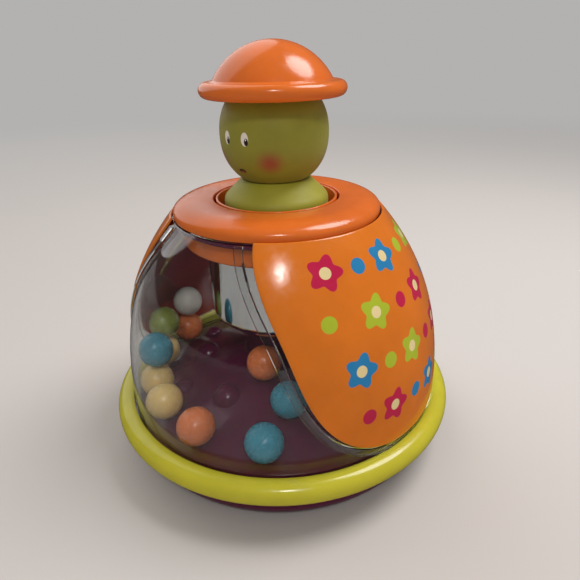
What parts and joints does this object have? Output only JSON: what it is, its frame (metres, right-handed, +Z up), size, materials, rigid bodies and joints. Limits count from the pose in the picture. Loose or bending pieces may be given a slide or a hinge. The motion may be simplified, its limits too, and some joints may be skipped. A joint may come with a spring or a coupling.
{
  "type": "ball popper toy",
  "caption": "Press-top ball popper: a sprung head turns a twisted spindle that spins a bumped cone under a clear dome, so loose balls whirl and hop.",
  "frame": {"origin": "on the ground, under the toy's upright axis", "axes": "+Z up along the plunger's axis; the face looks along -Y, and the wings lie on +X and -X"},
  "size_m": [0.185, 0.185, 0.2004],
  "materials": {
    "maroon_abs": "gloss moulded plastic, dark maroon",
    "lime_gloss": "gloss moulded plastic, lime yellow",
    "lime_soft": "matte soft plastic, lime",
    "head_soft": "matte soft plastic, olive lime, with a simple face",
    "orange_gloss": "gloss moulded plastic, orange",
    "wing_print": null,
    "clear_styrene": "clear moulded plastic",
    "mirror_plate": "mirror plating on plastic",
    "natural_acetal": "natural moulded plastic",
    "steel_wire": "drawn steel",
    "steel_screw": "zinc plated steel",
    "ball_teal": "hollow-look plastic ball, teal",
    "ball_orange": "plastic ball, orange",
    "ball_cream": "plastic ball, cream yellow",
    "ball_lime": "plastic ball, moss green",
    "ball_white": "plastic ball, off-white"
  },
  "bodies": {
    "housing": {"base_pan": "maroon_abs", "bumper_ring": "lime_gloss", "floor_tray": "maroon_abs", "base_screw_1": "steel_screw", "base_screw_2": "steel_screw", "base_screw_3": "steel_screw", "base_screw_4": "steel_screw", "base_screw_5": "steel_screw", "base_screw_6": "steel_screw", "clear_dome": "clear_styrene", "wing_left": "wing_print", "wing_right": "wing_print", "top_cap": "orange_gloss", "cap_retainer": "orange_gloss", "guide_sleeve": "orange_gloss", "mirror_column": "mirror_plate", "spindle_bush": "natural_acetal", "cap_screw_1": "steel_screw", "cap_screw_2": "steel_screw", "cap_screw_3": "steel_screw", "cap_screw_4": "steel_screw", "return_spring": "steel_wire", "thrust_washer": "natural_acetal"},
    "plunger": {"plunger_core": "natural_acetal", "drive_plate": "natural_acetal", "collar": "lime_soft", "head": "head_soft", "hat": "orange_gloss", "plate_screw_1": "steel_screw", "plate_screw_2": "steel_screw", "plate_screw_3": "steel_screw"},
    "spindle": {"twist_spindle": "steel_wire", "clutch_driver": "natural_acetal"},
    "spinner": {"spinner_disc": "maroon_abs", "hub_cover": "maroon_abs", "ratchet_ring": "natural_acetal", "hub_bearing": "natural_acetal"},
    "ball_01": {"ball_01": "ball_teal"},
    "ball_02": {"ball_02": "ball_orange"},
    "ball_03": {"ball_03": "ball_cream"},
    "ball_04": {"ball_04": "ball_cream"},
    "ball_05": {"ball_05": "ball_teal"},
    "ball_06": {"ball_06": "ball_cream"},
    "ball_07": {"ball_07": "ball_lime"},
    "ball_08": {"ball_08": "ball_orange"},
    "ball_09": {"ball_09": "ball_white"},
    "ball_10": {"ball_10": "ball_teal"},
    "ball_11": {"ball_11": "ball_orange"},
    "ball_12": {"ball_12": "ball_lime"},
    "ball_13": {"ball_13": "ball_cream"}
  },
  "joints": [
    {"name": "plunger_press", "type": "slide", "parent": "housing", "child": "plunger", "axis": [0, 0, -1], "range_m": [0, 0.028], "stiffness_N_per_m": 280, "springref_m": -0.02, "deforming": ["return_spring"]},
    {"name": "spindle_twist", "type": "hinge", "parent": "housing", "child": "spindle", "pos_m": [0, 0, 0.05], "axis": [0, 0, 1], "range_deg": [0, 170]},
    {"name": "spinner_run", "type": "hinge", "parent": "spindle", "child": "spinner", "pos_m": [0, 0, 0.03], "axis": [0, 0, 1], "continuous": true},
    {"name": "ball_01_hop", "type": "slide", "parent": "spinner", "child": "ball_01", "axis": [-0.173, -0.0151, 0.9848], "range_m": [0, 0.022]},
    {"name": "ball_02_hop", "type": "slide", "parent": "spinner", "child": "ball_02", "axis": [-0.0123, 0.1038, 0.9945], "range_m": [0, 0.022]},
    {"name": "ball_03_hop", "type": "slide", "parent": "spinner", "child": "ball_03", "axis": [0.0277, 0.1008, 0.9945], "range_m": [0, 0.022]},
    {"name": "ball_04_roll", "type": "slide", "parent": "spinner", "child": "ball_04", "axis": [-0.8172, 0.5764, 0], "range_m": [0, 0.009]},
    {"name": "ball_05_hop", "type": "slide", "parent": "spinner", "child": "ball_05", "axis": [0.1354, 0.2206, 0.9659], "range_m": [0, 0.022]},
    {"name": "ball_06_roll", "type": "slide", "parent": "spinner", "child": "ball_06", "axis": [-0.5119, 0.859, 0], "range_m": [0, 0.008]},
    {"name": "ball_07_hop", "type": "slide", "parent": "spinner", "child": "ball_07", "axis": [0.2145, 0.1449, 0.9659], "range_m": [0, 0.022]},
    {"name": "ball_08_roll", "type": "slide", "parent": "spinner", "child": "ball_08", "axis": [-0.0845, 0.9964, 0], "range_m": [0, 0.014]},
    {"name": "ball_09_hop", "type": "slide", "parent": "spinner", "child": "ball_09", "axis": [0.2545, 0.0473, 0.9659], "range_m": [0, 0.022]},
    {"name": "ball_10_hop", "type": "slide", "parent": "spinner", "child": "ball_10", "axis": [-0.2962, -0.3014, 0.9063], "range_m": [0, 0.022]},
    {"name": "ball_11_hop", "type": "slide", "parent": "spinner", "child": "ball_11", "axis": [0, 0, 1], "range_m": [0, 0.007]},
    {"name": "ball_12_hop", "type": "slide", "parent": "spinner", "child": "ball_12", "axis": [-0.0969, -0.0392, 0.9945], "range_m": [0, 0.022]},
    {"name": "ball_13_hop", "type": "slide", "parent": "spinner", "child": "ball_13", "axis": [-0.0217, -0.1022, 0.9945], "range_m": [0, 0.022]}
  ],
  "couplings": [
    {"joint": "spindle_twist", "follows": "plunger_press", "rad_per_m": 104.72}
  ]
}
